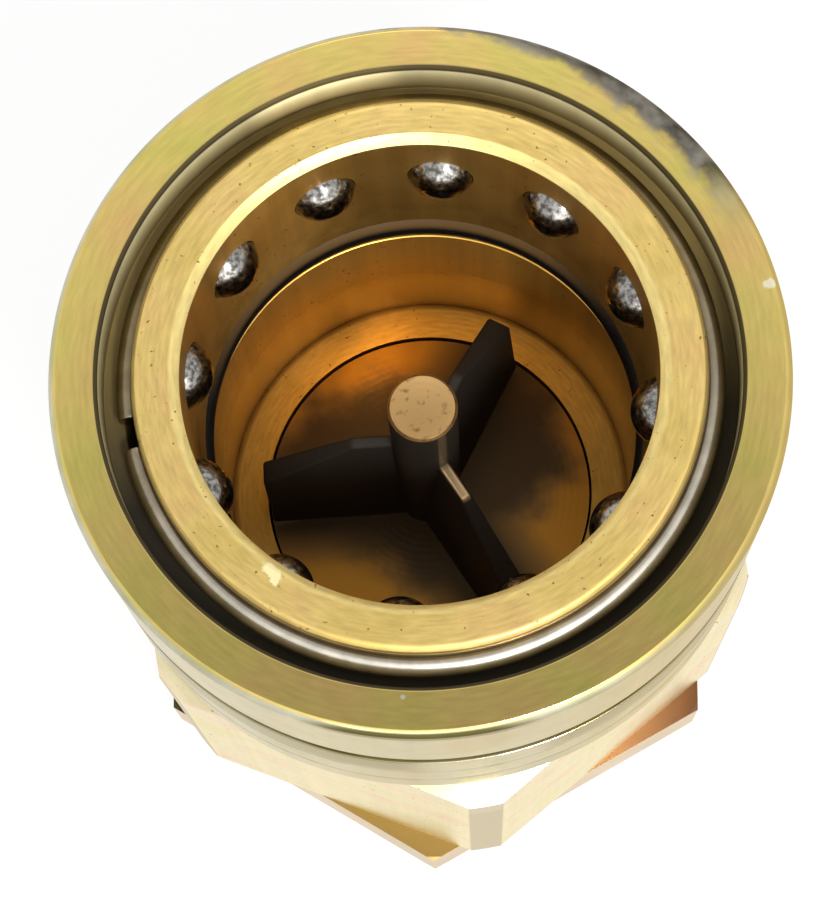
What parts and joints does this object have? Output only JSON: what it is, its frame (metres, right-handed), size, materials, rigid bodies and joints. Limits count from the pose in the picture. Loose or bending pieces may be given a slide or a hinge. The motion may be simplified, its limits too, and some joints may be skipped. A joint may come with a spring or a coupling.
{
  "type": "quick connect coupling",
  "caption": "Female half of a quick connect coupling: a sprung sleeve that locks steel balls onto a plug, a winged push valve in the bore, wrench hexes and a threaded port.",
  "frame": {"origin": "centre of the port face, which the coupling stands on", "axes": "+Z along the bore, out of the mouth that takes the plug; +X and +Y across it"},
  "size_m": [0.0554, 0.0576, 0.0714],
  "materials": {
    "body_chromate": "turned steel, zinc plated and yellow chromated",
    "adapter_chromate": "drawn hex steel, zinc plated and yellow chromated",
    "sleeve_chromate": "turned steel, zinc plated and yellow chromated, worn at the rim",
    "ring_wire": "plain drawn spring wire",
    "spring_wire": "plain drawn spring wire",
    "ball_steel": "polished bearing steel",
    "seal_rubber": "matt black nitrile rubber",
    "poppet_brass": "turned brass, darkened, bare on the pin's end",
    "guide_brass": "machined brass"
  },
  "bodies": {
    "coupling_body": {"coupling_body": "body_chromate", "end_adapter": "adapter_chromate", "retaining_ring": "ring_wire", "nose_seal": "seal_rubber", "adapter_seal": "seal_rubber", "valve_guide": "guide_brass", "sleeve_spring": "spring_wire", "valve_spring": "spring_wire"},
    "sleeve": {"locking_sleeve": "sleeve_chromate"},
    "poppet": {"poppet": "poppet_brass", "poppet_seal": "seal_rubber"},
    "ball_01": {"locking_ball_01": "ball_steel"},
    "ball_02": {"locking_ball_02": "ball_steel"},
    "ball_03": {"locking_ball_03": "ball_steel"},
    "ball_04": {"locking_ball_04": "ball_steel"},
    "ball_05": {"locking_ball_05": "ball_steel"},
    "ball_06": {"locking_ball_06": "ball_steel"},
    "ball_07": {"locking_ball_07": "ball_steel"},
    "ball_08": {"locking_ball_08": "ball_steel"},
    "ball_09": {"locking_ball_09": "ball_steel"},
    "ball_10": {"locking_ball_10": "ball_steel"},
    "ball_11": {"locking_ball_11": "ball_steel"},
    "ball_12": {"locking_ball_12": "ball_steel"}
  },
  "joints": [
    {"name": "sleeve_slide", "type": "slide", "parent": "coupling_body", "child": "sleeve", "axis": [0, 0, -1], "range_m": [0, 0.0054], "stiffness_N_per_m": 2500, "springref_m": -0.008, "deforming": ["sleeve_spring"]},
    {"name": "poppet_slide", "type": "slide", "parent": "coupling_body", "child": "poppet", "axis": [0, 0, -1], "range_m": [0, 0.0063], "stiffness_N_per_m": 2000, "springref_m": -0.004, "deforming": ["valve_spring"]},
    {"name": "ball_01_slide", "type": "slide", "parent": "coupling_body", "child": "ball_01", "axis": [0.9659, 0.2588, 0], "range_m": [0, 0.0013]},
    {"name": "ball_02_slide", "type": "slide", "parent": "coupling_body", "child": "ball_02", "axis": [0.7071, 0.7071, 0], "range_m": [0, 0.0013]},
    {"name": "ball_03_slide", "type": "slide", "parent": "coupling_body", "child": "ball_03", "axis": [0.2588, 0.9659, 0], "range_m": [0, 0.0013]},
    {"name": "ball_04_slide", "type": "slide", "parent": "coupling_body", "child": "ball_04", "axis": [-0.2588, 0.9659, 0], "range_m": [0, 0.0013]},
    {"name": "ball_05_slide", "type": "slide", "parent": "coupling_body", "child": "ball_05", "axis": [-0.7071, 0.7071, 0], "range_m": [0, 0.0013]},
    {"name": "ball_06_slide", "type": "slide", "parent": "coupling_body", "child": "ball_06", "axis": [-0.9659, 0.2588, 0], "range_m": [0, 0.0013]},
    {"name": "ball_07_slide", "type": "slide", "parent": "coupling_body", "child": "ball_07", "axis": [-0.9659, -0.2588, 0], "range_m": [0, 0.0013]},
    {"name": "ball_08_slide", "type": "slide", "parent": "coupling_body", "child": "ball_08", "axis": [-0.7071, -0.7071, 0], "range_m": [0, 0.0013]},
    {"name": "ball_09_slide", "type": "slide", "parent": "coupling_body", "child": "ball_09", "axis": [-0.2588, -0.9659, 0], "range_m": [0, 0.0013]},
    {"name": "ball_10_slide", "type": "slide", "parent": "coupling_body", "child": "ball_10", "axis": [0.2588, -0.9659, 0], "range_m": [0, 0.0013]},
    {"name": "ball_11_slide", "type": "slide", "parent": "coupling_body", "child": "ball_11", "axis": [0.7071, -0.7071, 0], "range_m": [0, 0.0013]},
    {"name": "ball_12_slide", "type": "slide", "parent": "coupling_body", "child": "ball_12", "axis": [0.9659, -0.2588, 0], "range_m": [0, 0.0013]}
  ],
  "couplings": [
    {"joint": "ball_01_slide", "follows": "sleeve_slide", "ratio": 0.24008},
    {"joint": "ball_02_slide", "follows": "sleeve_slide", "ratio": 0.24008},
    {"joint": "ball_03_slide", "follows": "sleeve_slide", "ratio": 0.24008},
    {"joint": "ball_04_slide", "follows": "sleeve_slide", "ratio": 0.24008},
    {"joint": "ball_05_slide", "follows": "sleeve_slide", "ratio": 0.24008},
    {"joint": "ball_06_slide", "follows": "sleeve_slide", "ratio": 0.24008},
    {"joint": "ball_07_slide", "follows": "sleeve_slide", "ratio": 0.24008},
    {"joint": "ball_08_slide", "follows": "sleeve_slide", "ratio": 0.24008},
    {"joint": "ball_09_slide", "follows": "sleeve_slide", "ratio": 0.24008},
    {"joint": "ball_10_slide", "follows": "sleeve_slide", "ratio": 0.24008},
    {"joint": "ball_11_slide", "follows": "sleeve_slide", "ratio": 0.24008},
    {"joint": "ball_12_slide", "follows": "sleeve_slide", "ratio": 0.24008}
  ]
}
